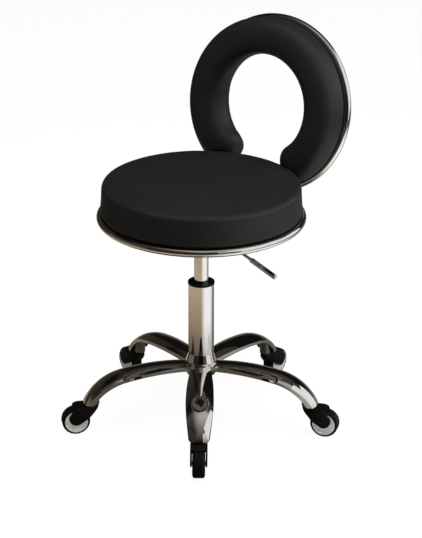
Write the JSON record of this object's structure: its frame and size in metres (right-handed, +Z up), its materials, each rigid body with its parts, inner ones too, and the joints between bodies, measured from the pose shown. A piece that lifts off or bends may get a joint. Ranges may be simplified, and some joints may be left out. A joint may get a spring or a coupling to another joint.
{
  "type": "swivel stool with backrest",
  "caption": "Height-adjustable swivel stool with a round padded seat, a padded ring backrest, a gas column and a chromed five-leg base on fork casters.",
  "frame": {"origin": "on the floor, on the axis of the column", "axes": "+Z up along the column; the sitter faces -Y and the backrest stands at +Y; +X is at the sitter's left"},
  "size_m": [0.5398, 0.5174, 0.7621],
  "materials": {
    "chrome": "polished chrome plate on steel tube and pressings",
    "plated_steel": "plain zinc plated steel",
    "black_steel": "black powder coat",
    "plywood": "raw birch plywood",
    "upholstery": "smooth black imitation leather over foam",
    "black_nylon": "moulded black nylon",
    "black_rubber": "moulded black rubber",
    "grey_plastic": "moulded light grey plastic",
    "tyre_rubber": "soft black tyre"
  },
  "bodies": {
    "base": {"base_hub": "chrome", "leg_1": "chrome", "leg_2": "chrome", "leg_3": "chrome", "leg_4": "chrome", "leg_5": "chrome", "caster_sockets": "plated_steel", "column_tube": "chrome", "column_guide": "black_nylon", "thrust_bearing": "plated_steel"},
    "rod": {"piston_rod": "plated_steel", "piston": "black_nylon", "bump_stop": "black_rubber", "retaining_clip": "plated_steel"},
    "seat": {"gas_cylinder": "chrome", "cylinder_seal": "black_rubber", "seat_plate": "black_steel", "socket_bracket": "black_steel", "socket_bush": "black_steel", "lever_pin": "plated_steel", "board_bolts": "plated_steel", "tee_nuts": "plated_steel", "seat_board": "plywood", "seat_cushion": "upholstery", "seat_ring": "chrome", "ring_lugs": "plated_steel", "lug_screws": "plated_steel", "back_bracket": "plated_steel", "backrest_ring": "chrome", "backrest_board": "plywood", "backrest_cushion": "upholstery"},
    "lever": {"lever_rod": "chrome", "lever_handle": "chrome"},
    "button": {"release_button": "plated_steel"},
    "caster_1": {"caster_1_yoke": "black_nylon", "caster_1_stem": "plated_steel", "caster_1_axle": "plated_steel"},
    "wheel_1": {"caster_1_wheel": "grey_plastic", "caster_1_tyre": "tyre_rubber"},
    "caster_2": {"caster_2_yoke": "black_nylon", "caster_2_stem": "plated_steel", "caster_2_axle": "plated_steel"},
    "wheel_2": {"caster_2_wheel": "grey_plastic", "caster_2_tyre": "tyre_rubber"},
    "caster_3": {"caster_3_yoke": "black_nylon", "caster_3_stem": "plated_steel", "caster_3_axle": "plated_steel"},
    "wheel_3": {"caster_3_wheel": "grey_plastic", "caster_3_tyre": "tyre_rubber"},
    "caster_4": {"caster_4_yoke": "black_nylon", "caster_4_stem": "plated_steel", "caster_4_axle": "plated_steel"},
    "wheel_4": {"caster_4_wheel": "grey_plastic", "caster_4_tyre": "tyre_rubber"},
    "caster_5": {"caster_5_yoke": "black_nylon", "caster_5_stem": "plated_steel", "caster_5_axle": "plated_steel"},
    "wheel_5": {"caster_5_wheel": "grey_plastic", "caster_5_tyre": "tyre_rubber"}
  },
  "joints": [
    {"name": "seat_swivel", "type": "hinge", "parent": "base", "child": "rod", "pos_m": [0, 0, 0.25], "axis": [0, 0, 1], "continuous": true},
    {"name": "seat_height", "type": "slide", "parent": "rod", "child": "seat", "axis": [0, 0, 1], "range_m": [-0.07, 0.05]},
    {"name": "lever_tilt", "type": "hinge", "parent": "seat", "child": "lever", "pos_m": [0.02717, -0.00677, 0.40335], "axis": [-0.2419, -0.9703, 0], "range_deg": [0, 7], "stiffness_Nm_per_rad": 1.5, "springref_deg": -2.86},
    {"name": "button_press", "type": "slide", "parent": "seat", "child": "button", "axis": [0, 0, -1], "range_m": [0, 0.0035], "stiffness_N_per_m": 600, "springref_m": -0.002},
    {"name": "caster_1_swivel", "type": "hinge", "parent": "base", "child": "caster_1", "pos_m": [0.12473, -0.17879, 0.06], "axis": [0, 0, 1], "continuous": true},
    {"name": "caster_1_roll", "type": "hinge", "parent": "caster_1", "child": "wheel_1", "pos_m": [0.14533, -0.20832, 0.0275], "axis": [0.8202, 0.5721, 0], "continuous": true},
    {"name": "caster_2_swivel", "type": "hinge", "parent": "base", "child": "caster_2", "pos_m": [0.20858, 0.06337, 0.06], "axis": [0, 0, 1], "continuous": true},
    {"name": "caster_2_roll", "type": "hinge", "parent": "caster_2", "child": "wheel_2", "pos_m": [0.24264, 0.07503, 0.0275], "axis": [-0.3239, 0.9461, 0], "continuous": true},
    {"name": "caster_3_swivel", "type": "hinge", "parent": "base", "child": "caster_3", "pos_m": [0.00419, 0.21796, 0.06], "axis": [0, 0, 1], "continuous": true},
    {"name": "caster_3_roll", "type": "hinge", "parent": "caster_3", "child": "wheel_3", "pos_m": [0.00488, 0.25395, 0.0275], "axis": [-0.9998, 0.0192, 0], "continuous": true},
    {"name": "caster_4_swivel", "type": "hinge", "parent": "base", "child": "caster_4", "pos_m": [-0.206, 0.07133, 0.06], "axis": [0, 0, 1], "continuous": true},
    {"name": "caster_4_roll", "type": "hinge", "parent": "caster_4", "child": "wheel_4", "pos_m": [-0.24002, 0.08311, 0.0275], "axis": [-0.3272, -0.9449, 0], "continuous": true},
    {"name": "caster_5_swivel", "type": "hinge", "parent": "base", "child": "caster_5", "pos_m": [-0.1315, -0.17387, 0.06], "axis": [0, 0, 1], "continuous": true},
    {"name": "caster_5_roll", "type": "hinge", "parent": "caster_5", "child": "wheel_5", "pos_m": [-0.1561, -0.20016, 0.0275], "axis": [0.7302, -0.6833, 0], "continuous": true}
  ],
  "couplings": [
    {"joint": "button_press", "follows": "lever_tilt", "m_per_rad": 0.028}
  ]
}
